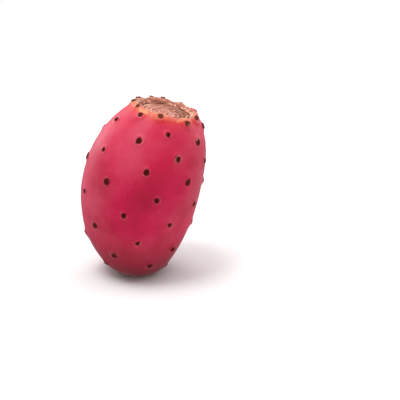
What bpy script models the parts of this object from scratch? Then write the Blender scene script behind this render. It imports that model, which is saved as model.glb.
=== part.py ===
"""Prickly pear fruit: one whole ripe fruit, standing on its cut stem end.

The fruit grew as one piece, so it is one solid. Its rings follow a centre line that drifts
to +X and tips the crown that way. Felted areoles cover it in a golden-angle spiral that
begins on the crown's rim, and the flower's scar is a ridged floor sunk inside that rim.

Metres, +Z up. The origin is the middle of the cut stem face that the fruit stands on.
"""

import math
import random

import bmesh
import bpy
from mathutils import Matrix, Vector

NODE = "fruit"
MM = 0.001

# Body, measured along and across its own axis
FOOT_RADIUS = 9.0 * MM
BELLY_RADIUS = 26.1 * MM
BELLY_HEIGHT = 42.7 * MM
CROWN_RADIUS = 13.7 * MM
CROWN_HEIGHT = 74.1 * MM
FOOT_HANDLE, FOOT_ANGLE = 1.9 * MM, math.radians(15)
LOWER_HANDLE = 29.9 * MM
UPPER_HANDLE = 19.2 * MM
SHOULDER_HANDLE, SHOULDER_ANGLE = 4.0 * MM, math.radians(37)

# How the axis drifts to +X, as the offsets of a cubic curve, and how the rings tip with it
AXIS_DRIFT = (-0.9 * MM, 1.2 * MM, 13.7 * MM)
CROWN_TILT = math.radians(13)
TILT_GROWTH = 2.6

# Cut stem scar in the middle of the foot, with the groove round it
SCAR_RADIUS = 5.6 * MM
GROOVE_RADIUS = 6.4 * MM
GROOVE_DEPTH = 0.7 * MM
GROOVE_OUTER_RADIUS = 7.2 * MM

# Crown: a rounded lip, the steep wall inside it, and the flower scar's rippled floor
LIP_RADIUS, LIP_RISE = 12.8 * MM, 0.5 * MM
WALL_RADIUS, WALL_DROP = 12.0 * MM, 0.1 * MM
FLOOR_RADIUS, FLOOR_DROP = 11.0 * MM, 1.1 * MM
FLOOR_BOWL = 0.7 * MM
RIPPLES = 5
RIPPLE_RISE = 0.2 * MM

# Areoles, numbered down a spiral from the crown's rim. SPIRAL_TOP less SPIRAL_STEP each,
# and SPIRAL_SPREAD for the square of the number, is the distance along the flank. The
# spiral's rows lean to one side of the fruit and are crowded together round another, and
# two more of its places, before the first, stand on the far side of the rim.
AREOLES = 59
RIM_EXTRAS = (-5, -2)
GOLDEN_ANGLE = math.radians(137.508)
FIRST_ANGLE = math.radians(67.3)
SPIRAL_TOP = 90.0 * MM
SPIRAL_STEP = 1.034 * MM
SPIRAL_SPREAD = 0.0073 * MM
LEAN, LEAN_SIDE = 1.3 * MM, math.radians(36)
SWAY, SWAY_SIDE = math.radians(5.6), math.radians(213)
RIM_CROWDING = 1.26 * MM
ANGLE_WANDER = math.radians(2.5)
ALONG_WANDER = 0.8 * MM
SIZE_WANDER = 0.18
SEED = 279

# One areole: a blunt felt button on a low mound, which is highest on the rim
BUTTON_RADIUS = 1.2 * MM
BUTTON_RISE = 0.7 * MM
BUTTON_ROOT = 1.6 * MM
BUTTON_SIDES = 8
# Its widths at the root and the top, as shares of its radius, and its waist as a share of its rise
BUTTON_ROOT_WIDTH, BUTTON_TOP_WIDTH, BUTTON_WAIST = 0.85, 0.58, 0.35
MOUND_RISE, MOUND_REACH = 0.25 * MM, 2.6 * MM
RIM_MOUND_RISE, RIM_MOUND_REACH = 0.8 * MM, 2.4 * MM
RIM_REACH = 2.5 * MM
RIM_LIFT = 1.1

# Mesh fineness
SEGMENTS = 72
FLANK_RINGS = 28
END_RINGS_CLOSER = 0.6
CURVE_STEPS = 60
SMOOTH_ANGLE = math.radians(38)

SKIN_COLOUR = (0.56, 0.045, 0.115, 1.0)
SKIN_ROUGHNESS = 0.42


def clear_scene():
    for obj in list(bpy.data.objects):
        bpy.data.objects.remove(obj, do_unlink=True)


def bezier(points, share):
    """Point of a cubic Bezier curve, from its four (radius, height) points."""
    rest = 1 - share
    weights = (rest**3, 3 * rest**2 * share, 3 * rest * share**2, share**3)
    return sum((w * Vector(p) for w, p in zip(weights, points)), Vector((0.0, 0.0)))


def flank_curve():
    """The flank's profile from the foot's edge over the belly to the crown's edge."""
    foot = (FOOT_RADIUS, 0.0)
    foot_out = (
        foot[0] + FOOT_HANDLE * math.cos(FOOT_ANGLE),
        foot[1] + FOOT_HANDLE * math.sin(FOOT_ANGLE),
    )
    belly = (BELLY_RADIUS, BELLY_HEIGHT)
    crown = (CROWN_RADIUS, CROWN_HEIGHT)
    crown_out = (
        crown[0] + SHOULDER_HANDLE * math.cos(SHOULDER_ANGLE),
        crown[1] - SHOULDER_HANDLE * math.sin(SHOULDER_ANGLE),
    )
    lower = (foot, foot_out, (BELLY_RADIUS, BELLY_HEIGHT - LOWER_HANDLE), belly)
    upper = (belly, (BELLY_RADIUS, BELLY_HEIGHT + UPPER_HANDLE), crown_out, crown)
    shares = [step / CURVE_STEPS for step in range(CURVE_STEPS + 1)]
    return [bezier(lower, s) for s in shares] + [bezier(upper, s) for s in shares[1:]]


class Flank:
    """The flank's profile, read by the distance along it from the foot's edge."""

    def __init__(self):
        self.points = flank_curve()
        self.reached = [0.0]
        for before, after in zip(self.points, self.points[1:]):
            self.reached.append(self.reached[-1] + (after - before).length)
        self.length = self.reached[-1]

    def at(self, distance):
        index = sum(reach < distance for reach in self.reached[1:-1])
        span = self.reached[index + 1] - self.reached[index]
        share = (distance - self.reached[index]) / span
        return self.points[index].lerp(self.points[index + 1], share)


def place(radius, height, angle):
    """The point of the leaning fruit at a radius, height and angle of its straight form."""
    share = height / CROWN_HEIGHT
    rest = 1 - share
    first, second, third = AXIS_DRIFT
    drift = 3 * rest**2 * share * first + 3 * rest * share**2 * second + share**3 * third
    tilt = CROWN_TILT * max(share, 0.0) ** TILT_GROWTH
    across = radius * math.cos(angle)
    return Vector((
        drift + across * math.cos(tilt),
        radius * math.sin(angle),
        height - across * math.sin(tilt),
    ))


def floor_height(radius):
    """Height of the flower scar's floor: a slight bowl with concentric ripples."""
    share = radius / FLOOR_RADIUS
    bowl = CROWN_HEIGHT - FLOOR_DROP - FLOOR_BOWL * (1 - share**2)
    return bowl - RIPPLE_RISE * math.cos(2 * math.pi * RIPPLES * share)


def body_rings(flank):
    """(radius, height) of each ring, from the stem scar over the flank into the crown."""
    foot = [(SCAR_RADIUS, 0.0), (GROOVE_RADIUS, GROOVE_DEPTH), (GROOVE_OUTER_RADIUS, 0.0)]
    side = []
    for n in range(FLANK_RINGS + 1):
        turn = 2 * math.pi * n / FLANK_RINGS
        share = (turn - END_RINGS_CLOSER * math.sin(turn)) / (2 * math.pi)
        side.append(tuple(flank.at(flank.length * share)))
    lip = [(LIP_RADIUS, CROWN_HEIGHT + LIP_RISE), (WALL_RADIUS, CROWN_HEIGHT - WALL_DROP)]
    steps = 2 * RIPPLES
    scar = [FLOOR_RADIUS * n / steps for n in range(steps, 0, -1)]
    return foot + side + lip + [(radius, floor_height(radius)) for radius in scar]


def full_turn(sides):
    return [2 * math.pi * n / sides for n in range(sides)]


def skin_rings(mesh, rings):
    """Quads between each ring of vertices and the next."""
    for lower, upper in zip(rings, rings[1:]):
        for n in range(len(lower)):
            after = (n + 1) % len(lower)
            mesh.faces.new((lower[n], lower[after], upper[after], upper[n]))


def body_mesh(flank, areoles):
    mesh = bmesh.new()
    rings = [
        [mesh.verts.new(place(radius, height, turn)) for turn in full_turn(SEGMENTS)]
        for radius, height in body_rings(flank)
    ]
    skin_rings(mesh, rings)
    mesh.faces.new(reversed(rings[0]))
    middle = mesh.verts.new(place(0.0, floor_height(0.0), 0.0))
    top = rings[-1]
    for n in range(SEGMENTS):
        mesh.faces.new((top[n], top[(n + 1) % SEGMENTS], middle))
    mesh.normal_update()
    raised = [(vert, sum(areole.mound_at(vert.co) for areole in areoles)) for vert in mesh.verts]
    for vert, rise in raised:
        if vert.co.z > 0:
            vert.co += vert.normal * rise
    return mesh


class Areole:
    """Where one areole stands, which way it points, and its size and mound."""

    def __init__(self, flank, number, draw):
        angle = FIRST_ANGLE + number * GOLDEN_ANGLE
        angle += SWAY * math.cos(angle - SWAY_SIDE)
        distance = SPIRAL_TOP - SPIRAL_STEP * number - SPIRAL_SPREAD * number**2
        distance -= LEAN * (1 + math.cos(angle - LEAN_SIDE))
        distance += draw.uniform(-ALONG_WANDER, ALONG_WANDER)
        beyond = math.exp((flank.length - distance) / RIM_CROWDING)
        distance = flank.length - RIM_CROWDING * math.log1p(beyond)
        angle += draw.uniform(-ANGLE_WANDER, ANGLE_WANDER)
        at_rim = math.exp(-((flank.length - distance) / RIM_REACH) ** 2)
        self.size = 1 + draw.uniform(-SIZE_WANDER, SIZE_WANDER)
        self.foot = place(*flank.at(distance), angle)
        self.along = (flank_normal(flank, distance, angle) + RIM_LIFT * at_rim * crown_up()).normalized()
        self.rise = (MOUND_RISE + (RIM_MOUND_RISE - MOUND_RISE) * at_rim) * self.size
        self.reach = MOUND_REACH + (RIM_MOUND_REACH - MOUND_REACH) * at_rim

    def mound_at(self, point):
        return self.rise * math.exp(-((point - self.foot).length / self.reach) ** 2)

    def button(self):
        """The felt button, with its root sunk below the mound's top."""
        mesh = bmesh.new()
        radius, rise = BUTTON_RADIUS * self.size, BUTTON_RISE * self.size
        outline = (
            (BUTTON_ROOT_WIDTH * radius, -BUTTON_ROOT),
            (radius, BUTTON_WAIST * rise),
            (BUTTON_TOP_WIDTH * radius, rise),
        )
        rings = [
            [mesh.verts.new((r * math.cos(t), r * math.sin(t), z)) for t in full_turn(BUTTON_SIDES)]
            for r, z in outline
        ]
        skin_rings(mesh, rings)
        mesh.faces.new(reversed(rings[0]))
        mesh.faces.new(rings[-1])
        turned = self.along.to_track_quat("Z", "Y").to_matrix().to_4x4()
        mesh.transform(Matrix.Translation(self.foot + self.along * self.rise) @ turned)
        return mesh


def crown_up():
    """The direction that the tipped crown faces."""
    return Vector((math.sin(CROWN_TILT), 0.0, math.cos(CROWN_TILT)))


def flank_normal(flank, distance, angle):
    """Outward direction of the flank, from its slopes along and around."""
    step, turn = 0.2 * MM, math.radians(0.5)
    above = place(*flank.at(distance), angle)
    below = place(*flank.at(distance - step), angle)
    ahead = place(*flank.at(distance), angle + turn)
    return (ahead - above).cross(above - below).normalized()


def to_object(name, mesh, collection):
    data = bpy.data.meshes.new(name)
    mesh.to_mesh(data)
    mesh.free()
    obj = bpy.data.objects.new(name, data)
    collection.objects.link(obj)
    return obj


def fuse(body, meshes):
    """One Boolean union of the body with a collection of the small shapes."""
    tools = bpy.data.collections.new("buttons")
    bpy.context.scene.collection.children.link(tools)
    for n, mesh in enumerate(meshes):
        to_object(f"button_{n}", mesh, tools)
    union = body.modifiers.new("join_buttons", "BOOLEAN")
    union.operation = "UNION"
    union.operand_type = "COLLECTION"
    union.collection = tools
    union.solver = "EXACT"
    with bpy.context.temp_override(object=body, active_object=body, selected_objects=[body]):
        bpy.ops.object.modifier_apply(modifier=union.name)
    for tool in list(tools.objects):
        bpy.data.objects.remove(tool, do_unlink=True)
    bpy.data.collections.remove(tools)


def skin_material():
    material = bpy.data.materials.new("skin")
    material.use_nodes = True
    shader = material.node_tree.nodes["Principled BSDF"]
    shader.inputs["Base Color"].default_value = SKIN_COLOUR
    shader.inputs["Roughness"].default_value = SKIN_ROUGHNESS
    shader.inputs["Metallic"].default_value = 0.0
    return material


def main():
    clear_scene()
    draw = random.Random(SEED)
    flank = Flank()
    areoles = [Areole(flank, number, draw) for number in (*range(AREOLES), *RIM_EXTRAS)]
    fruit = to_object(NODE, body_mesh(flank, areoles), bpy.context.scene.collection)
    fuse(fruit, [areole.button() for areole in areoles])
    fruit.data.materials.clear()
    fruit.data.materials.append(skin_material())
    fruit.data.shade_smooth()
    fruit.data.set_sharp_from_angle(angle=SMOOTH_ANGLE)


main()
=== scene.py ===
import math
import random

import bpy
import numpy as np
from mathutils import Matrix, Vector, noise


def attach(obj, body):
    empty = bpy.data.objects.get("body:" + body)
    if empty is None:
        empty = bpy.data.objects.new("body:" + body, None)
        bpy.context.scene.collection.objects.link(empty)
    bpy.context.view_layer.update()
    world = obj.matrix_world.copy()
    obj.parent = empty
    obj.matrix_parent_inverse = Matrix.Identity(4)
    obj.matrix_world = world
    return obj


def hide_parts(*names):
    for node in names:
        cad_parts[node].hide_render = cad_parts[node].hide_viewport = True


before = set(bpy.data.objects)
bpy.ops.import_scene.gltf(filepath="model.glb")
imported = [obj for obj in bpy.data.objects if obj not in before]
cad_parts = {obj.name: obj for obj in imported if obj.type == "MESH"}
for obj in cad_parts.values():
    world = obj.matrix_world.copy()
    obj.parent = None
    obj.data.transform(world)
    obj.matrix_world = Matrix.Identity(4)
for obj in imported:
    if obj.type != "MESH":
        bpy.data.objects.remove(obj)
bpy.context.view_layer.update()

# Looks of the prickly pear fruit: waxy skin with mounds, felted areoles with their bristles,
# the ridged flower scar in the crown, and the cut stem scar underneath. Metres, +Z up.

MM = 0.001

# The fruit's form, as in the CAD source
FOOT_RADIUS = 9.0 * MM
BELLY_RADIUS, BELLY_HEIGHT = 26.1 * MM, 42.7 * MM
CROWN_RADIUS, CROWN_HEIGHT = 13.7 * MM, 74.1 * MM
FOOT_HANDLE, FOOT_ANGLE = 1.9 * MM, math.radians(15)
LOWER_HANDLE, UPPER_HANDLE = 29.9 * MM, 19.2 * MM
SHOULDER_HANDLE, SHOULDER_ANGLE = 4.0 * MM, math.radians(37)
AXIS_DRIFT = (-0.9 * MM, 1.2 * MM, 13.7 * MM)
CROWN_TILT, TILT_GROWTH = math.radians(13), 2.6
GROOVE_RADIUS = 6.4 * MM
FLOOR_RADIUS, FLOOR_DROP, FLOOR_BOWL = 11.0 * MM, 1.1 * MM, 0.7 * MM
WALL_RADIUS, WALL_DROP = 12.0 * MM, 0.1 * MM

# The areoles' spiral, as in the CAD source
AREOLES, RIM_EXTRAS = 59, (-5, -2)
GOLDEN_ANGLE, FIRST_ANGLE = math.radians(137.508), math.radians(67.3)
SPIRAL_TOP, SPIRAL_STEP, SPIRAL_SPREAD = 90.0 * MM, 1.034 * MM, 0.0073 * MM
LEAN, LEAN_SIDE = 1.3 * MM, math.radians(36)
SWAY, SWAY_SIDE = math.radians(5.6), math.radians(213)
RIM_CROWDING = 1.26 * MM
ANGLE_WANDER, ALONG_WANDER, SIZE_WANDER = math.radians(2.5), 0.8 * MM, 0.18
MOUND_RISE, MOUND_REACH = 0.25 * MM, 2.6 * MM
RIM_MOUND_RISE, RIM_MOUND_REACH, RIM_REACH, RIM_LIFT = 0.8 * MM, 2.4 * MM, 2.5 * MM, 1.1
SEED = 279

# The sides of the crown where its rim is warmest in colour, where the dry scar spreads over its lip,
# and where its creases are deepest
WARM_SIDE = math.radians(245)
DRY_SIDE = math.radians(135)
CREASED_SIDE = math.radians(20)

# The skin's end curves, down into the groove round the stem and over the crown's lip. Each is a Bezier
# curve, with its points as steps outward and up from the edge that it turns round.
GROOVE_CURVE = ((-0.5 * MM, 0.9 * MM), (0.1 * MM, 0.75 * MM), (0.5 * MM, 0.1 * MM), (1.1 * MM, 0.0))
LIP_CURVE = ((0.0, 0.0), (-0.8 * MM, 0.75 * MM), (-1.5 * MM, 0.55 * MM), (-2.0 * MM, -0.9 * MM))

# Fineness of the curves, of the skin, and of the scars
FLANK_STEPS, END_STEPS = 400, 30
SKIN_COLUMNS, SKIN_STEP = 400, 0.42 * MM
WALL_ROWS, FLOOR_ROWS, SCAR_COLUMNS = 40, 90, 360
STEM_ROWS, STEM_COLUMNS = 40, 180

# How far each seed's noise lies from the next seed's, in lumps
SEED_STEPS = (7.3, 3.1, 5.7)

# The skin round an areole: a collar beside the felt, a dimple under it and a pale halo at its edge,
# partly paler skin and partly painted highlight on the collar, placed in shares of the pad's radius
COLLAR_RISE, COLLAR_PLACE, COLLAR_WIDTH = 0.20 * MM, 1.45, 0.5 * MM
DIMPLE_DEPTH, DIMPLE_REACH = 0.30 * MM, 0.9
HALO_PLACE, HALO_WIDTH = 1.15, 0.6 * MM

# Uneven forms, each in layers of noise with a height, a size and a seed: the flank's swells, the lip's
# lumps and the ragged line where the skin ends at the stem
SWELLS = ((0.28 * MM, 17 * MM, 1), (0.05 * MM, 4 * MM, 2))
LIP_LUMPS = ((0.30 * MM, 3.2 * MM, 3), (0.12 * MM, 1.3 * MM, 11))
STEM_RAGGEDNESS = ((0.4 * MM, 1.6 * MM, 12),)

# How far before the crown's edge the lumps begin to take over from the swells, how high above the table
# both are at their full height, and where along the skin it turns into the stem's border
LUMPS_BEGIN = 3 * MM
FULL_HEIGHT = 3 * MM
STEM_SPAN = (-1.2 * MM, -2.6 * MM)

# Lighter and darker patches of the skin, and its dusty bloom: size and noise seed of each. Both are
# partly the skin's own tone and partly painted light and shade: the seeds place darker patches where
# shade falls, and the bloom as a painted sheen toward the sides.
TONE_AND_SHADING_SIZE, TONE_AND_SHADING_SEED = 18 * MM, 996
BLOOM_AND_SHEEN_SIZE, BLOOM_AND_SHEEN_SEED = 22 * MM, 302

# The flower scar's outer edge under the lip, the bend at the foot of its wall, and its middle, and how
# far its wall is drawn out past the CAD source's radii
SCAR_OUTSIDE, SCAR_BEND, SCAR_MIDDLE = 12.5 * MM, 10.6 * MM, 0.12 * MM
WALL_SPREAD = 0.3 * MM

# The scar's creases, in rings from FIRST_RING outward: crooked, uneven in width and broken by gaps, which
# are patches of noise with a size, a seed and two levels. What is left of a crease in the gaps, how much
# it sways round the scar, deepest at CREASED_SIDE, and what it loses on the wall are shares of its depth.
FIRST_RING, RING_SPACING = 1.55 * MM, 1.85 * MM
RING_DEPTH, RING_HALF_WIDTH = 0.55 * MM, 0.31 * MM
RING_CROOKEDNESS = ((0.7 * MM, 7.0 * MM, 4), (0.22 * MM, 2.0 * MM, 5))
RING_UNEVENNESS = ((0.45, 2.6 * MM, 13),)
RING_GAPS = (2.8 * MM, 6, -0.35, 0.25)
RING_LEFT_IN_GAPS, RING_SIDE_SWAY, RING_LOSS_ON_WALL = 0.15, 0.25, 0.7

# The scar's fibres, lumps, and the dark crevice at the foot of its wall, dark maroon and partly painted
# shade
FIBRE_RISE, FIBRE_WIDTH, FIBRE_SPOKES, FIBRE_SEED = 0.16 * MM, 0.42 * MM, 2.6, 7
SCAR_LUMPS = ((1.0, 1.5 * MM, 8), (0.5, 0.7 * MM, 9))
FLOOR_LUMP_RISE, WALL_LUMP_RISE = 0.08 * MM, 0.22 * MM
CREVICE_RADIUS, CREVICE_WIDTH = 10.5 * MM, 0.35 * MM
CREVICE_GAPS = (4.0 * MM, 15, -0.4, 0.2)

# The radii over which the scar turns tan, turns worn, becomes wall and meets the lip
TAN_SPAN = (5.5 * MM, 10.5 * MM)
WORN_SPAN = (2.5 * MM, 8.5 * MM)
WALL_SPAN = (10.7 * MM, 11.5 * MM)
EDGE_SPAN = (11.4 * MM, 12.3 * MM)

# The cut stem's face, just above the table, with a border that climbs into the groove
STEM_CLEARANCE, STEM_MIDDLE = 0.02 * MM, 0.1 * MM
BORDER_RISE, BORDER_SPAN = 0.9 * MM, (5.2 * MM, 6.4 * MM)
CHIP_RISE, CHIP_SIZE, CHIP_SEED = 0.12 * MM, 0.7 * MM, 9
BORDER_WANDER, BORDER_COLOUR_SPAN = 0.4 * MM, (4.3 * MM, 5.4 * MM)

# Felt pads of the areoles. The profile gives share of the radius and height in millimetres, from the
# skirt that is sunk in the skin, over a raised ring, to the middle. A pad's tallness is its length up the
# fruit as a share of its width. Old felt is browner, at the rim and on the rim's dry side.
PAD_RADIUS = 1.25 * MM
PAD_PROFILE = ((1.06, -0.5), (1.04, 0.02), (0.94, 0.30), (0.80, 0.44), (0.64, 0.48), (0.48, 0.46),
               (0.32, 0.42), (0.16, 0.38), (0.02, 0.36))
PAD_COLUMNS = 40
PAD_TALLNESS = (0.88, 1.16)
PAD_SUNK = 0.12 * MM
PAD_UNEVENNESS = ((0.3, 0.9 * MM, 14),)
PAD_ROUGHNESS = ((0.13 * MM, 0.45 * MM, 10),)
RIM_PAD_SHRINK = 0.25
OLD_AT_RIM, OLD_AT_DRY_SIDE = 0.5, 0.5

# Bristles, in each pad. They lean outward by shares of BRISTLE_LEAN, and a little any way. The profile
# gives share of the length and share of the thickness of the two rings below the tip.
BRISTLES = 26
BRISTLE_ROOT, BRISTLE_SPREAD = 0.1 * MM, 0.9 * MM
BRISTLE_LENGTH, BRISTLE_THICKNESS = (0.40 * MM, 0.85 * MM), (0.035 * MM, 0.06 * MM)
BRISTLE_LEAN, BRISTLE_LEAN_SHARES, BRISTLE_SCATTER = 0.55, (0.2, 1.0), 0.25
BRISTLE_PROFILE = ((0.0, 1.0), (0.6, 0.75))
BRISTLE_SIDES = 3

# Camera: at the photograph's angle, and set off to the side as the fruit is in its frame
ELEVATION = math.radians(20)
CAMERA_DISTANCE = 0.5
AIM = Vector((0.0280, 0.01053, 0.02896))
LENS, SENSOR = 100.0, 36.0
NEAREST, FARTHEST = 0.01, 50.0

# Stage: a round floor that is open under the foot, a far white backdrop, and a white sky
FLOOR_SIDES, FLOOR_REACH, FLOOR_OPENING, FLOOR_SHADE = 64, 0.6, 6.8 * MM, 0.86
BACKDROP_ROWS, BACKDROP_COLUMNS, BACKDROP_REACH = 24, 48, 1.2
SKY_STRENGTH = 0.35

# Square soft lights, which all face LIGHT_AIM: place, side and power in watts of each
LIGHT_AIM = Vector((0.004, 0.0, 0.042))
LIGHTS = {
    "overhead": ((0.0, 0.20, 2.40), 3.0, 46.4),
    "key": ((-0.51, -0.30, 1.80), 0.7, 14.6),
    "left_back": ((-1.35, 1.35, 0.60), 1.2, 13.0),
    "right_back": ((1.35, 1.35, 0.60), 1.2, 10.4),
    "right_side": ((1.80, 0.30, 0.60), 1.5, 4.2),
}


# Form

def bezier(points, share):
    rest = 1 - share
    weights = (rest**3, 3 * rest**2 * share, 3 * rest * share**2, share**3)
    return sum(w[:, None] * np.array(p) for w, p in zip(weights, points))


def flank_points():
    """(radius, height) from the foot's edge over the belly to the crown's edge."""
    share = np.linspace(0, 1, FLANK_STEPS)
    foot = (FOOT_RADIUS, 0.0)
    foot_out = (FOOT_RADIUS + FOOT_HANDLE * math.cos(FOOT_ANGLE), FOOT_HANDLE * math.sin(FOOT_ANGLE))
    belly = (BELLY_RADIUS, BELLY_HEIGHT)
    crown = (CROWN_RADIUS, CROWN_HEIGHT)
    crown_out = (CROWN_RADIUS + SHOULDER_HANDLE * math.cos(SHOULDER_ANGLE),
                 CROWN_HEIGHT - SHOULDER_HANDLE * math.sin(SHOULDER_ANGLE))
    lower = bezier((foot, foot_out, (BELLY_RADIUS, BELLY_HEIGHT - LOWER_HANDLE), belly), share)
    upper = bezier((belly, (BELLY_RADIUS, BELLY_HEIGHT + UPPER_HANDLE), crown_out, crown), share)
    return np.vstack([lower, upper[1:]])


def reach_of(points):
    """How far along a line of points each of them is."""
    return np.concatenate([[0.0], np.cumsum(np.linalg.norm(np.diff(points, axis=0), axis=1))])


FLANK = flank_points()
FLANK_REACH = reach_of(FLANK)
FLANK_LENGTH = FLANK_REACH[-1]


def flank_at(distance):
    return np.interp(distance, FLANK_REACH, FLANK[:, 0]), np.interp(distance, FLANK_REACH, FLANK[:, 1])


def place(radius, height, angle):
    """Points of the leaning fruit, from radius, height and angle of its straight form."""
    share = height / CROWN_HEIGHT
    rest = 1 - share
    first, second, third = AXIS_DRIFT
    drift = 3 * rest**2 * share * first + 3 * rest * share**2 * second + share**3 * third
    tilt = CROWN_TILT * np.maximum(share, 0.0) ** TILT_GROWTH
    across = radius * np.cos(angle)
    return np.stack(np.broadcast_arrays(
        drift + across * np.cos(tilt), radius * np.sin(angle), height - across * np.sin(tilt)), axis=-1)


def unit(vectors):
    return vectors / np.linalg.norm(vectors, axis=-1, keepdims=True)


def grid_normals(points):
    """Outward directions of a grid whose rows climb and whose columns run round."""
    around = np.roll(points, -1, axis=1) - np.roll(points, 1, axis=1)
    up = np.gradient(points, axis=0)
    return unit(np.cross(around, up))


def smooth(low, high, value):
    """A soft step from 0 at low to 1 at high."""
    share = np.clip((value - low) / (high - low), 0, 1)
    return share * share * (3 - 2 * share)


def noise_at(points, size, seed):
    """Smooth noise from -1 to 1, with lumps of about the given size."""
    shift = Vector([seed * step for step in SEED_STEPS])
    flat = points.reshape(-1, 3) / size
    return np.array([noise.noise(Vector(p) + shift) for p in flat.tolist()]).reshape(points.shape[:-1])


def relief(points, layers):
    """Layers of noise added up, each given as height, size and seed."""
    return sum(height * noise_at(points, size, seed) for height, size, seed in layers)


def patches(points, size, seed, low, high):
    """Irregular patches from 0 to 1, with soft edges between two levels of noise."""
    return smooth(low, high, noise_at(points, size, seed))


def ring_noise(radius, turn, fine, spokes, seed):
    """Noise in streaks that follow the rings: fine across them, long round them."""
    ahead, aside = spokes * np.cos(turn), spokes * np.sin(turn)
    streaks = np.stack(np.broadcast_arrays(radius / fine, ahead, aside), axis=-1)
    return noise_at(streaks, 1.0, seed)


class Areole:
    """Where one areole stands, its own directions, its size and mound, and how dry it is."""

    def __init__(self, number, draw):
        angle = FIRST_ANGLE + number * GOLDEN_ANGLE
        angle += SWAY * math.cos(angle - SWAY_SIDE)
        distance = SPIRAL_TOP - SPIRAL_STEP * number - SPIRAL_SPREAD * number**2
        distance -= LEAN * (1 + math.cos(angle - LEAN_SIDE))
        distance += draw.uniform(-ALONG_WANDER, ALONG_WANDER)
        beyond = math.exp((FLANK_LENGTH - distance) / RIM_CROWDING)
        distance = FLANK_LENGTH - RIM_CROWDING * math.log1p(beyond)
        angle += draw.uniform(-ANGLE_WANDER, ANGLE_WANDER)
        self.rim = math.exp(-((FLANK_LENGTH - distance) / RIM_REACH) ** 2)
        self.dry = self.rim * max(0.0, math.cos(angle - DRY_SIDE))
        self.size = 1 + draw.uniform(-SIZE_WANDER, SIZE_WANDER)
        step, turn = 0.2 * MM, math.radians(0.5)
        self.foot = place(*flank_at(distance), angle)
        below = place(*flank_at(distance - step), angle)
        ahead = place(*flank_at(distance), angle + turn)
        self.up = unit(self.foot - below)
        normal = unit(np.cross(ahead - self.foot, self.foot - below))
        crown_up = np.array((math.sin(CROWN_TILT), 0.0, math.cos(CROWN_TILT)))
        self.along = unit(normal + RIM_LIFT * self.rim * crown_up)
        self.side = unit(np.cross(self.up, self.along))
        self.up = np.cross(self.along, self.side)
        self.rise = (MOUND_RISE + (RIM_MOUND_RISE - MOUND_RISE) * self.rim) * self.size
        self.reach = MOUND_REACH + (RIM_MOUND_REACH - MOUND_REACH) * self.rim


draw = random.Random(SEED)
areoles = [Areole(number, draw) for number in (*range(AREOLES), *RIM_EXTRAS)]


# Meshes

def mesh_piece(name, points, faces, fields=None):
    """A smooth-shaded mesh object, with float fields on its points."""
    data = bpy.data.meshes.new(name)
    data.from_pydata(np.asarray(points).tolist(), [], [tuple(f) for f in faces])
    data.shade_smooth()
    for key, values in (fields or {}).items():
        field = data.attributes.new(key, "FLOAT", "POINT")
        field.data.foreach_set("value", np.asarray(values, dtype=np.float32).ravel())
    piece = bpy.data.objects.new(name, data)
    bpy.context.scene.collection.objects.link(piece)
    return piece


def grid_faces(rows, columns, first=0):
    """Faces of a grid whose columns close into a ring, and whose points start at first."""
    row, column = np.meshgrid(np.arange(rows - 1), np.arange(columns), indexing="ij")
    after = (column + 1) % columns
    corners = (row * columns + column, row * columns + after,
               (row + 1) * columns + after, (row + 1) * columns + column)
    return (np.stack(corners, axis=-1).reshape(-1, 4) + first).tolist()


def last_row(rows, columns, first=0):
    """The face that closes a grid at its last row."""
    return tuple(first + (rows - 1) * columns + n for n in range(columns))


def full_turn(columns):
    return np.linspace(0, 2 * math.pi, columns, endpoint=False)


def skin_profile():
    """(radius, height) down in the stem groove, over the foot and flank, and over the crown's lip."""
    share = np.linspace(0, 1, END_STEPS)
    into = bezier([(GROOVE_RADIUS + out, up) for out, up in GROOVE_CURVE], share)
    over = bezier([(CROWN_RADIUS + out, CROWN_HEIGHT + up) for out, up in LIP_CURVE], share)
    whole = np.vstack([into, FLANK, over[1:]])
    reach = reach_of(whole)
    at = np.linspace(0, reach[-1], int(reach[-1] / SKIN_STEP))
    return np.interp(at, reach, whole[:, 0]), np.interp(at, reach, whole[:, 1]), at - reach[len(into)]


def mounds(points):
    """How far the areoles raise the skin, and how close each point is to an areole's edge, where a pale
    ring is painted, partly as highlight.
    """
    rise = np.zeros(points.shape[:-1])
    halo_and_highlight = np.zeros(points.shape[:-1])
    for areole in areoles:
        away = np.linalg.norm(points - areole.foot, axis=-1)
        across = PAD_RADIUS * areole.size
        rise += areole.rise * np.exp(-(away / areole.reach) ** 2)
        rise += COLLAR_RISE * np.exp(-((away - COLLAR_PLACE * across) / COLLAR_WIDTH) ** 2)
        rise -= DIMPLE_DEPTH * np.exp(-(away / (DIMPLE_REACH * across)) ** 4)
        halo_and_highlight = np.maximum(halo_and_highlight, np.exp(-((away - HALO_PLACE * across) / HALO_WIDTH) ** 2))
    return rise, halo_and_highlight


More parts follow.
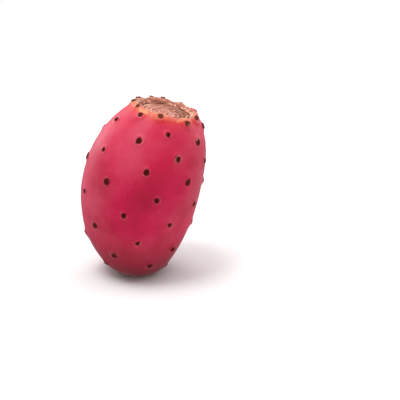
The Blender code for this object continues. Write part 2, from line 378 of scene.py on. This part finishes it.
def skin_piece():
    """The waxy skin. Its field past is in millimetres beyond the crown's edge."""
    radius, height, along = skin_profile()
    turn = full_turn(SKIN_COLUMNS)
    flat = place(radius[:, None], height[:, None], turn[None, :])
    normals = grid_normals(flat)
    rise, halo_and_highlight = mounds(flat)
    past = along - FLANK_LENGTH
    at_lip = smooth(-LUMPS_BEGIN, 0.0, past)[:, None]
    lifted = smooth(0.0, FULL_HEIGHT, flat[..., 2])
    rise = rise + lifted * (relief(flat, SWELLS) * (1 - at_lip) + relief(flat, LIP_LUMPS) * at_lip)
    points = flat + normals * rise[..., None]
    points[..., 2] = np.maximum(points[..., 2], 0.0)
    warm = 0.5 + 0.5 * np.cos(turn - WARM_SIDE)
    dry = np.cos(turn - DRY_SIDE)
    return mesh_piece("fruit_skin", points.reshape(-1, 3), grid_faces(*halo_and_highlight.shape), {
        "along": np.broadcast_to(np.clip(along / FLANK_LENGTH, 0, 1)[:, None], halo_and_highlight.shape),
        "past": np.broadcast_to(past[:, None] / MM, halo_and_highlight.shape),
        "warm": np.broadcast_to(warm[None, :], halo_and_highlight.shape),
        "dry": np.broadcast_to(dry[None, :], halo_and_highlight.shape),
        "tone_and_shading_patch": noise_at(flat, TONE_AND_SHADING_SIZE, TONE_AND_SHADING_SEED),
        "bloom_and_sheen": noise_at(flat, BLOOM_AND_SHEEN_SIZE, BLOOM_AND_SHEEN_SEED),
        "halo_and_highlight": halo_and_highlight,
        "stem": smooth(*STEM_SPAN, along[:, None] + relief(flat, STEM_RAGGEDNESS))})


def scar_height(radius):
    """Height of the scar's floor, and of the steep wall that climbs from it to the lip."""
    floor = CROWN_HEIGHT - FLOOR_DROP - FLOOR_BOWL * (1 - (radius / FLOOR_RADIUS) ** 2)
    wall = smooth(FLOOR_RADIUS - WALL_SPREAD, WALL_RADIUS + WALL_SPREAD, radius)
    return floor + wall * (CROWN_HEIGHT - WALL_DROP - floor)


def flower_scar_piece():
    """The dry flower scar: a sunk floor of broken, crooked rings, and the lumpy wall round it."""
    radius = np.concatenate([np.linspace(SCAR_OUTSIDE, SCAR_BEND, WALL_ROWS, endpoint=False),
                             np.linspace(SCAR_BEND, SCAR_MIDDLE, FLOOR_ROWS)])[:, None]
    turn = full_turn(SCAR_COLUMNS)[None, :]
    flat = place(radius, scar_height(radius), turn)
    normals = grid_normals(flat)
    crooked = radius + relief(flat, RING_CROOKEDNESS)
    wall = smooth(*WALL_SPAN, crooked)
    creased = np.cos(turn - CREASED_SIDE)

    rings = (crooked - FIRST_RING) / RING_SPACING
    from_crease = np.abs(rings - np.round(rings)) * RING_SPACING
    groove = np.exp(-(from_crease / (RING_HALF_WIDTH * (1 + relief(flat, RING_UNEVENNESS)))) ** 2)
    groove *= RING_LEFT_IN_GAPS + (1 - RING_LEFT_IN_GAPS) * patches(flat, *RING_GAPS)
    groove *= 1 - RING_SIDE_SWAY + RING_SIDE_SWAY * creased
    groove *= 1 - RING_LOSS_ON_WALL * wall

    fibre = ring_noise(radius, turn, FIBRE_WIDTH, FIBRE_SPOKES, FIBRE_SEED)
    lumps = relief(flat, SCAR_LUMPS)
    lump_rise = FLOOR_LUMP_RISE + (WALL_LUMP_RISE - FLOOR_LUMP_RISE) * wall
    rise = -RING_DEPTH * groove + FIBRE_RISE * fibre * (1 - wall) + lump_rise * lumps
    points = flat + normals * rise[..., None]
    crevice_and_shade = np.exp(-((crooked - CREVICE_RADIUS) / CREVICE_WIDTH) ** 2) * patches(flat, *CREVICE_GAPS)
    faces = [*grid_faces(*crooked.shape), last_row(*crooked.shape)]
    return mesh_piece("flower_scar", points.reshape(-1, 3), faces, {
        "groove": groove,
        "crevice_and_shade": crevice_and_shade,
        "tan": smooth(*TAN_SPAN, radius) * (0.5 + 0.5 * np.cos(turn - WARM_SIDE)),
        "worn": smooth(*WORN_SPAN, radius) * np.clip(creased, 0, 1),
        "wall": wall,
        "fibre": fibre,
        "lump": lumps,
        "edge": np.broadcast_to(smooth(*EDGE_SPAN, radius), crooked.shape)})


def stem_scar_piece():
    """The cut stem's face, seen from below: a pale fibrous disc with a brown border."""
    radius = np.linspace(GROOVE_RADIUS, STEM_MIDDLE, STEM_ROWS)[:, None]
    turn = full_turn(STEM_COLUMNS)[None, :]
    height = BORDER_RISE * smooth(*BORDER_SPAN, radius) + STEM_CLEARANCE
    flat = place(radius, height, turn)
    chips = noise_at(flat, CHIP_SIZE, CHIP_SEED)
    flat[..., 2] += CHIP_RISE * np.abs(chips)
    faces = [face[::-1] for face in (*grid_faces(*chips.shape), last_row(*chips.shape))]
    return mesh_piece("stem_scar", flat.reshape(-1, 3), faces, {
        "edge": smooth(*BORDER_COLOUR_SPAN, radius + BORDER_WANDER * chips)})


def felt_piece():
    """One low felt pad in each areole, of uneven outline, with a raised ring."""
    out, high = np.array(PAD_PROFILE).T
    high = high * MM
    rows, turn = len(out), full_turn(PAD_COLUMNS)
    above_skirt = (out < 1.0)[:, None]
    points, faces, middle, tint, old = [], [], [], [], []
    rough = random.Random(SEED + 1)
    for areole in areoles:
        first = len(points) * rows * PAD_COLUMNS
        wide = PAD_RADIUS * areole.size * (1 - RIM_PAD_SHRINK * areole.rim)
        tall = wide * rough.uniform(*PAD_TALLNESS)
        base = areole.foot + areole.along * (areole.rise - PAD_SUNK)
        ring = wide * np.cos(turn)[:, None] * areole.side + tall * np.sin(turn)[:, None] * areole.up
        ring = ring * (1 + relief(base + ring, PAD_UNEVENNESS))[:, None]
        spot = (base + out[:, None, None] * ring[None, :, :]
                + high[:, None, None] * areole.size * areole.along)
        spot = spot + (relief(spot, PAD_ROUGHNESS) * above_skirt)[..., None] * areole.along
        points.append(spot.reshape(-1, 3))
        faces += [*grid_faces(rows, PAD_COLUMNS, first), last_row(rows, PAD_COLUMNS, first)]
        middle.append(np.repeat(1 - np.clip(out, 0, 1), PAD_COLUMNS))
        tint.append(np.full(rows * PAD_COLUMNS, rough.random()))
        old.append(np.full(rows * PAD_COLUMNS, OLD_AT_RIM * areole.rim + OLD_AT_DRY_SIDE * areole.dry))
    return mesh_piece("areole_felt", np.vstack(points), faces, {
        "middle": np.concatenate(middle), "tint": np.concatenate(tint), "old": np.concatenate(old)})


def bristle_piece():
    """Tufts of short fine bristles, standing out of the felt."""
    sides = BRISTLE_SIDES
    # Turns the areole's up direction a little, so that no bristle runs along it
    nudge = 0.01
    points, faces, tint = [], [], []
    rough = random.Random(SEED + 2)
    for areole in areoles:
        base = areole.foot + areole.along * (areole.rise + BRISTLE_ROOT)
        for _ in range(BRISTLES):
            spin = rough.uniform(0, 2 * math.pi)
            out = BRISTLE_SPREAD * areole.size * math.sqrt(rough.random())
            outward = math.cos(spin) * areole.side + math.sin(spin) * areole.up
            lean = areole.along + BRISTLE_LEAN * rough.uniform(*BRISTLE_LEAN_SHARES) * outward
            lean = unit(lean + BRISTLE_SCATTER * np.array([rough.uniform(-1, 1) for _ in range(3)]))
            long = rough.uniform(*BRISTLE_LENGTH)
            thick = rough.uniform(*BRISTLE_THICKNESS)
            side = unit(np.cross(lean, areole.up + nudge))
            other = np.cross(lean, side)
            root = base + out * outward
            first = len(points)
            for share, width in BRISTLE_PROFILE:
                for turn in full_turn(sides):
                    rim = thick * width * (math.cos(turn) * side + math.sin(turn) * other)
                    points.append(root + lean * long * share + rim)
            points.append(root + lean * long)
            tip = len(points) - 1
            for n in range(sides):
                after = (n + 1) % sides
                faces.append((first + n, first + after, first + sides + after, first + sides + n))
                faces.append((first + sides + n, first + sides + after, tip))
            tint += [rough.random()] * (len(points) - first)
    return mesh_piece("areole_bristles", points, faces, {"tint": tint})


# Materials. The levels in their bands are values of noise, mostly between 0.3 and 0.7, or of a field.

class Nodes:
    """Short ways to build a material's nodes."""

    def __init__(self, name):
        self.material = bpy.data.materials.new(name)
        self.material.use_nodes = True
        self.tree = self.material.node_tree
        self.shader = self.tree.nodes["Principled BSDF"]
        self.coords = self.add("ShaderNodeTexCoord").outputs["Object"]

    def add(self, kind, inputs=None, **settings):
        node = self.tree.nodes.new(kind)
        for key, value in settings.items():
            setattr(node, key, value)
        for key, value in (inputs or {}).items():
            self.feed(node.inputs[key], value)
        return node

    def feed(self, socket, value):
        if isinstance(value, bpy.types.NodeSocket):
            self.tree.links.new(value, socket)
        else:
            socket.default_value = value

    def field(self, name):
        return self.add("ShaderNodeAttribute", attribute_name=name).outputs["Fac"]

    def noise(self, size, detail=2.0, rough=0.5):
        return self.add("ShaderNodeTexNoise", {
            "Vector": self.coords, "Scale": 1 / size, "Detail": detail, "Roughness": rough}).outputs["Fac"]

    def cells(self, size):
        inputs = {"Vector": self.coords, "Scale": 1 / size}
        return self.add("ShaderNodeTexVoronoi", inputs).outputs["Distance"]

    def math(self, operation, a, b):
        return self.add("ShaderNodeMath", {0: a, 1: b}, operation=operation).outputs[0]

    def band(self, value, low, high, to_low=0.0, to_high=1.0):
        """A soft step from to_low at one level of the value to to_high at the other, falling or rising."""
        return self.add("ShaderNodeMapRange", {
            "Value": value, "From Min": low, "From Max": high, "To Min": to_low, "To Max": to_high,
        }, interpolation_type="SMOOTHSTEP").outputs["Result"]

    def mix(self, share, a, b):
        """The colour a where share is 0, and b where it is 1."""
        node = self.add("ShaderNodeMix", {"Factor": share}, data_type="RGBA")
        first, second = (socket for socket in node.inputs if socket.type == "RGBA")
        self.feed(first, a)
        self.feed(second, b)
        return next(socket for socket in node.outputs if socket.type == "RGBA")

    def bump(self, height, depth, before=None):
        inputs = {"Height": height, "Distance": depth, "Strength": 1.0}
        if before is not None:
            inputs["Normal"] = before
        return self.add("ShaderNodeBump", inputs).outputs["Normal"]

    def surface(self, inputs):
        """Feeds the shader's named inputs, and gives the material."""
        for key, value in inputs.items():
            self.feed(self.shader.inputs[key], value)
        return self.material

    def output(self, shader):
        """Makes another shader the material's surface."""
        self.tree.links.new(shader, self.tree.nodes["Material Output"].inputs["Surface"])


def rgb(red, green, blue):
    """Linear colour from sRGB values of 0 to 255."""
    def linear(value):
        value /= 255
        return value / 12.92 if value <= 0.04045 else ((value + 0.055) / 1.055) ** 2.4
    return (linear(red), linear(green), linear(blue), 1.0)


# Colours of the skin
RIPE_DEEP, RIPE_BRIGHT = rgb(182, 0, 54), rgb(220, 6, 78)
# The foot colour is painted shade, darker toward the bottom.
# The shoulder colour is partly the skin's paler tone near the crown and partly painted highlight.
SHOULDER_TONE_AND_HIGHLIGHT, FOOT_PAINTED_SHADE = rgb(220, 46, 80), rgb(126, 0, 28)
BLOOM_AND_SHEEN, PALE_HALO_AND_HIGHLIGHT, PORES, GRAIN = rgb(232, 168, 180), rgb(216, 124, 128), rgb(232, 130, 140), rgb(126, 0, 36)
STEM_EDGE_DARK, STEM_EDGE_LIGHT = rgb(140, 80, 54), rgb(196, 140, 100)
SHEEN = rgb(255, 224, 228)

# Colours of the crown's rim, from the skin to the dry scar
ORANGE_RED, SALMON, YELLOW_SALMON = rgb(222, 64, 48), rgb(228, 112, 90), rgb(246, 176, 122)
DRY_BROWN, DRY_TAN, DRY_DARK = rgb(170, 100, 80), rgb(224, 164, 138), rgb(130, 68, 52)

# Colours of the flower scar
FLOOR_ROSE, FLOOR_PALE = rgb(206, 130, 118), rgb(220, 154, 136)
FLOOR_TAN, FLOOR_WORN = rgb(208, 162, 126), rgb(150, 98, 74)
FIBRE_DARK, FIBRE_PALE = rgb(150, 80, 66), rgb(244, 204, 184)
WALL_RED, WALL_PALE = rgb(206, 88, 66), rgb(255, 198, 170)
FLECK_PALE, FLECK_DARK = rgb(252, 204, 182), rgb(130, 50, 38)
WALL_EDGE = rgb(206, 156, 124)
SCAR_GRAIN, CREVICE_MAROON_AND_SHADE, CREASE_BROWN_AND_SHADE = rgb(126, 58, 46), rgb(116, 26, 28), rgb(98, 36, 30)

# Colours of the stem, the felt and the bristles
STEM_DARK, STEM_PALE = rgb(206, 168, 122), rgb(238, 212, 178)
BORDER_DARK, BORDER_OLIVE = rgb(84, 58, 34), rgb(146, 116, 66)
FELT_BLACK, FELT_MAROON, FELT_FRINGE = rgb(48, 1, 4), rgb(100, 10, 14), rgb(150, 46, 56)
FELT_TAN_DARK, FELT_TAN_LIGHT, FELT_OLD = rgb(176, 96, 78), rgb(220, 164, 132), rgb(136, 82, 58)
BRISTLE_DARK, BRISTLE_TAN = rgb(50, 8, 8), rgb(160, 96, 70)


def crown_colours(n, ripe):
    """The skin's colour near and over the crown's lip: orange-red, salmon with yellow, then dry tan. On
    the warm side the salmon reaches farther down, partly as painted highlight.
    """
    warm = n.field("warm")
    ragged = n.math("ADD", n.field("past"), n.band(n.noise(2.6 * MM, 3, 0.5), 0.25, 0.75, -0.6, 0.6))
    ragged = n.math("ADD", ragged, n.band(n.field("dry"), 0.2, 1.0, 0.0, 1.2))
    # Partly painted highlight: the salmon band reaches farther down on the warm side.
    salmon_and_highlight_reach = n.math("ADD", ragged, n.band(warm, 0.35, 1.0, -0.7, 0.7))
    glow = n.math("MULTIPLY", n.band(ragged, -5.0, -0.6), n.band(warm, 0.1, 0.8, 0.2, 0.75))
    ripe = n.mix(glow, ripe, ORANGE_RED)
    salmon = n.mix(n.band(n.noise(4.2 * MM, 2), 0.42, 0.62), SALMON, YELLOW_SALMON)
    ripe = n.mix(n.band(salmon_and_highlight_reach, -1.2, 0.1, 0.0, 0.8), ripe, salmon)
    dry = n.mix(n.band(n.noise(1.3 * MM, 4, 0.7), 0.36, 0.62), DRY_BROWN, DRY_TAN)
    dry = n.mix(n.band(n.noise(0.4 * MM, 3), 0.55, 0.35, 0.0, 0.45), dry, DRY_DARK)
    return n.mix(n.band(ragged, 0.6, 1.3), ripe, dry)


def skin_material():
    n = Nodes("waxy_skin")
    clouds = n.noise(7 * MM, 3, 0.45)
    cloudy = n.band(clouds, 0.3, 0.7, -0.15, 0.15)
    grain = n.noise(0.55 * MM, 3, 0.6)
    along = n.field("along")
    # Partly painted light and shade: lighter and darker patches, seeded so that the darker ones lie where
    # shade falls.
    colour = n.mix(n.band(n.math("ADD", n.field("tone_and_shading_patch"), cloudy), -0.8, 0.9), RIPE_DEEP, RIPE_BRIGHT)
    # Partly painted highlight: paler and pinker toward the crown.
    colour = n.mix(n.band(along, 0.55, 0.95, 0.0, 0.8), colour, SHOULDER_TONE_AND_HIGHLIGHT)
    # Painted shade: the skin darkens toward the foot.
    colour = n.mix(n.band(along, 0.45, 0.0, 0.0, 0.9), colour, FOOT_PAINTED_SHADE)
    # Dusty bloom, partly the wax's own paleness and partly painted sheen toward the sides. It thins toward
    # the foot as painted shade.
    dusty_and_sheen = n.band(n.math("ADD", n.field("bloom_and_sheen"), cloudy), -0.25, 0.8, 0.0, 0.12)
    colour = n.mix(n.math("MULTIPLY", dusty_and_sheen, n.band(along, 0.05, 0.5, 0.1, 1.0)), colour, BLOOM_AND_SHEEN)
    colour = crown_colours(n, colour)
    # Pale ring round each areole: partly paler skin, partly painted highlight on the raised collar.
    halo_and_highlight_patches = n.band(n.noise(1.8 * MM, 2), 0.42, 0.62, 0.0, 0.40)
    colour = n.mix(n.math("MULTIPLY", n.field("halo_and_highlight"), halo_and_highlight_patches), colour, PALE_HALO_AND_HIGHLIGHT)
    pores = n.band(n.cells(2.0 * MM), 0.20, 0.06)
    colour = n.mix(n.math("MULTIPLY", pores, n.band(clouds, 0.35, 0.6, 0.0, 0.12)), colour, PORES)
    colour = n.mix(n.band(grain, 0.62, 0.40, 0.0, 0.12), colour, GRAIN)
    stem_edge = n.mix(n.band(grain, 0.35, 0.65), STEM_EDGE_DARK, STEM_EDGE_LIGHT)
    colour = n.mix(n.field("stem"), colour, stem_edge)
    normal = n.bump(grain, 0.025 * MM)
    normal = n.bump(pores, 0.03 * MM, normal)
    normal = n.bump(n.noise(2.6 * MM, 2), 0.08 * MM, normal)
    return n.surface({
        "Base Color": colour, "Roughness": n.band(clouds, 0.3, 0.7, 0.38, 0.50), "Normal": normal,
        "Subsurface Weight": 0.1, "Subsurface Scale": 1.0 * MM, "Subsurface Radius": (1.6, 0.3, 0.25),
        "Sheen Weight": 0.08, "Sheen Roughness": 0.4, "Sheen Tint": SHEEN, "Specular IOR Level": 0.22})


def scar_floor_colours(n):
    """Rose and pale patches, tan and worn on one side each, with dark and pale fibres."""
    fibre = n.field("fibre")
    floor = n.mix(n.band(n.noise(4.5 * MM, 3), 0.35, 0.65), FLOOR_ROSE, FLOOR_PALE)
    floor = n.mix(n.field("tan"), floor, FLOOR_TAN)
    floor = n.mix(n.field("worn"), floor, FLOOR_WORN)
    floor = n.mix(n.band(fibre, 0.05, -0.4, 0.0, 0.7), floor, FIBRE_DARK)
    return n.mix(n.band(fibre, 0.1, 0.5, 0.0, 0.6), floor, FIBRE_PALE)


def scar_wall_colours(n):
    """Red and pale speckles with finer flecks, and a tan edge under the lip."""
    speckle = n.math("ADD", n.noise(0.9 * MM, 4, 0.7), n.math("MULTIPLY", n.field("lump"), 0.12))
    wall = n.mix(n.band(speckle, 0.36, 0.60), WALL_RED, WALL_PALE)
    wall = n.mix(n.band(n.noise(0.5 * MM, 3, 0.7), 0.52, 0.62, 0.0, 0.6), wall, FLECK_PALE)
    wall = n.mix(n.band(n.noise(0.7 * MM, 3, 0.7), 0.46, 0.36, 0.0, 0.6), wall, FLECK_DARK)
    return n.mix(n.band(n.field("edge"), 0.5, 1.0, 0.0, 0.7), wall, WALL_EDGE)


def scar_material():
    n = Nodes("flower_scar")
    grain = n.noise(0.45 * MM, 4, 0.65)
    colour = n.mix(n.field("wall"), scar_floor_colours(n), scar_wall_colours(n))
    colour = n.mix(n.band(grain, 0.47, 0.36, 0.0, 0.5), colour, SCAR_GRAIN)
    # Partly painted shade: a broken dark maroon line in the corner at the wall's foot.
    colour = n.mix(n.math("MULTIPLY", n.field("crevice_and_shade"), 0.75), colour, CREVICE_MAROON_AND_SHADE)
    # The creases are darkened: partly dry brown tissue, partly painted shade in the grooves.
    colour = n.mix(n.band(n.field("groove"), 0.1, 0.65, 0.0, 0.9), colour, CREASE_BROWN_AND_SHADE)
    return n.surface({
        "Base Color": colour, "Roughness": n.band(grain, 0.3, 0.7, 0.6, 0.85),
        "Normal": n.bump(grain, 0.12 * MM), "Specular IOR Level": 0.3})


def stem_material():
    n = Nodes("stem_scar")
    grain = n.noise(0.5 * MM, 4, 0.65)
    face = n.mix(n.band(grain, 0.3, 0.7), STEM_DARK, STEM_PALE)
    border = n.mix(n.band(grain, 0.35, 0.6), BORDER_DARK, BORDER_OLIVE)
    return n.surface({
        "Base Color": n.mix(n.field("edge"), face, border), "Roughness": 0.75,
        "Normal": n.bump(grain, 0.1 * MM), "Specular IOR Level": 0.3})


def felt_material():
    n = Nodes("areole_felt")
    grain = n.noise(0.22 * MM, 3, 0.7)
    strands = n.band(grain, 0.35, 0.7)
    middle = n.field("middle")
    patchy = n.band(n.noise(1.3 * MM, 2), 0.46, 0.62)
    colour = n.mix(strands, FELT_BLACK, FELT_MAROON)
    colour = n.mix(n.band(middle, 0.22, 0.0, 0.0, 0.7), colour, FELT_FRINGE)
    ring = n.math("MULTIPLY", n.band(middle, 0.45, 0.05), patchy)
    tan_share = n.math("MULTIPLY", ring, n.band(n.field("tint"), 0.6, 1.0, 0.1, 1.0))
    colour = n.mix(tan_share, colour, n.mix(strands, FELT_TAN_DARK, FELT_TAN_LIGHT))
    old = n.math("MULTIPLY", n.field("old"), n.band(patchy, 0.0, 1.0, 0.6, 1.0))
    return n.surface({
        "Base Color": n.mix(old, colour, FELT_OLD), "Roughness": 0.9, "Normal": n.bump(grain, 0.08 * MM),
        "Sheen Weight": 0.05, "Sheen Roughness": 0.5, "Specular IOR Level": 0.1})


def bristle_material():
    n = Nodes("bristles")
    colour = n.mix(n.band(n.field("tint"), 0.4, 1.0), BRISTLE_DARK, BRISTLE_TAN)
    return n.surface({"Base Color": colour, "Roughness": 0.45, "Specular IOR Level": 0.4})


# The object

for piece, material in (
    (skin_piece(), skin_material()),
    (flower_scar_piece(), scar_material()),
    (stem_scar_piece(), stem_material()),
    (felt_piece(), felt_material()),
    (bristle_piece(), bristle_material()),
):
    piece.data.materials.append(material)
    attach(piece, "root")
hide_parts("fruit")


# Stage

def floor():
    """A round floor. Under the foot it is open, so that the stem scar is lit in views from below."""
    ring = [(math.cos(turn), math.sin(turn)) for turn in full_turn(FLOOR_SIDES)]
    points = [(reach * x, reach * y, 0.0) for reach in (FLOOR_REACH, FLOOR_OPENING) for x, y in ring]
    data = bpy.data.meshes.new("floor")
    data.from_pydata(points, [], grid_faces(2, FLOOR_SIDES))
    plane = bpy.data.objects.new("floor", data)
    bpy.context.scene.collection.objects.link(plane)
    n = Nodes("pale_floor")
    n.surface({"Base Color": (FLOOR_SHADE, FLOOR_SHADE, FLOOR_SHADE, 1), "Roughness": 0.9,
               "Specular IOR Level": 0.1})
    # Seen from below the floor is clear, so that the fruit's underside shows in such views.
    clear = n.add("ShaderNodeBsdfTransparent").outputs[0]
    behind = n.add("ShaderNodeNewGeometry").outputs["Backfacing"]
    n.output(n.add("ShaderNodeMixShader", {0: behind, 1: n.shader.outputs[0], 2: clear}).outputs[0])
    data.materials.append(n.material)
    # In glossy rays it is left out, so that it makes no pale band on the skin.
    plane.visible_glossy = False


def backdrop():
    """A plain white shell far behind the floor, which only the camera sees and which lights nothing."""
    nearly_upright = 0.499 * math.pi
    climb = np.linspace(-nearly_upright, nearly_upright, BACKDROP_ROWS)[:, None]
    turn = full_turn(BACKDROP_COLUMNS)[None, :]
    points = BACKDROP_REACH * np.stack(np.broadcast_arrays(
        np.cos(climb) * np.cos(turn), np.cos(climb) * np.sin(turn), np.sin(climb)), axis=-1)
    shell = mesh_piece("backdrop", points.reshape(-1, 3), grid_faces(BACKDROP_ROWS, BACKDROP_COLUMNS))
    n = Nodes("white_backdrop")
    n.output(n.add("ShaderNodeEmission", {"Color": (1, 1, 1, 1), "Strength": 1.0}).outputs[0])
    n.material.cycles.emission_sampling = "NONE"
    shell.data.materials.append(n.material)
    shell.visible_diffuse = False
    shell.visible_glossy = False
    shell.visible_transmission = False
    shell.visible_shadow = False


def soft_light(name, stand, side, power):
    light = bpy.data.lights.new(name, "AREA")
    light.shape, light.size, light.energy = "SQUARE", side, power
    lamp = bpy.data.objects.new(name, light)
    lamp.location = stand
    lamp.rotation_euler = (LIGHT_AIM - Vector(stand)).to_track_quat("-Z", "Y").to_euler()
    bpy.context.scene.collection.objects.link(lamp)


def sky():
    world = bpy.data.worlds.new("studio")
    world.use_nodes = True
    background = world.node_tree.nodes["Background"]
    background.inputs["Color"].default_value = (1, 1, 1, 1)
    background.inputs["Strength"].default_value = SKY_STRENGTH
    bpy.context.scene.world = world


def camera():
    data = bpy.data.cameras.new("camera")
    data.lens, data.sensor_width = LENS, SENSOR
    data.clip_start, data.clip_end = NEAREST, FARTHEST
    eye = bpy.data.objects.new("camera", data)
    forward = Vector((0.0, math.cos(ELEVATION), -math.sin(ELEVATION)))
    eye.location = AIM - forward * CAMERA_DISTANCE
    eye.rotation_euler = forward.to_track_quat("-Z", "Y").to_euler()
    bpy.context.scene.collection.objects.link(eye)
    bpy.context.scene.camera = eye


floor()
backdrop()
sky()
for name, (stand, side, power) in LIGHTS.items():
    soft_light(name, stand, side, power)
camera()
bpy.context.scene.view_settings.view_transform = "Standard"
